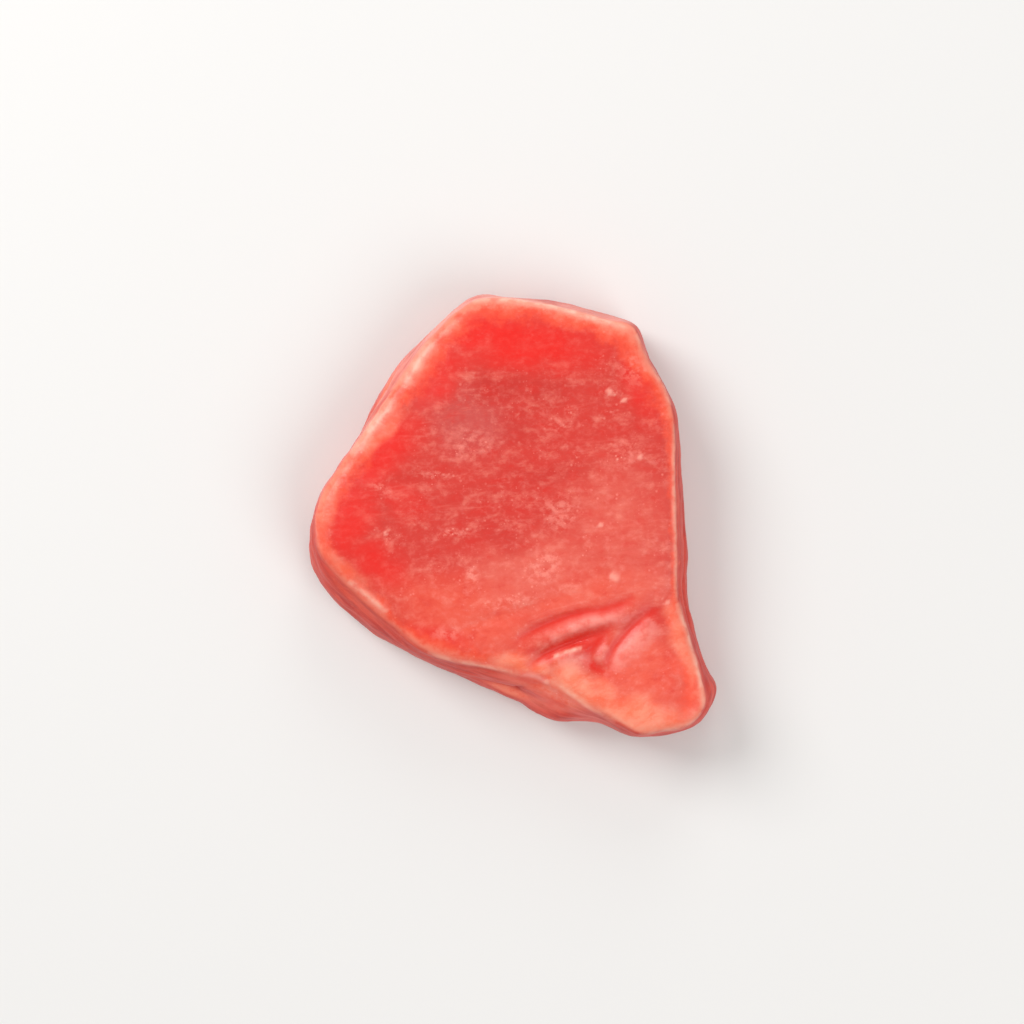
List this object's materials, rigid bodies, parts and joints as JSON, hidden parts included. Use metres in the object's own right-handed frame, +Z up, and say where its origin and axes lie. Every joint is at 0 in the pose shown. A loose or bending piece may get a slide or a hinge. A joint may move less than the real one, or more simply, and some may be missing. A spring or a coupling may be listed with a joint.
{
  "type": "raw tuna steak",
  "caption": "Raw red tuna steak: a flat uneven slab of wet flesh with a rounded rim, sloping cut sides and a small folded lobe at one corner.",
  "frame": {"origin": "middle of the steak's box, on the face it rests on", "axes": "+Z up through the thickness, +Y along the longer side of the slice, +X across it, with the folded lobe at +X and -Y"},
  "size_m": [0.09, 0.0974, 0.02],
  "materials": {
    "flesh": "wet raw flesh"
  },
  "bodies": {
    "root": {"steak": "flesh"}
  },
  "joints": []
}
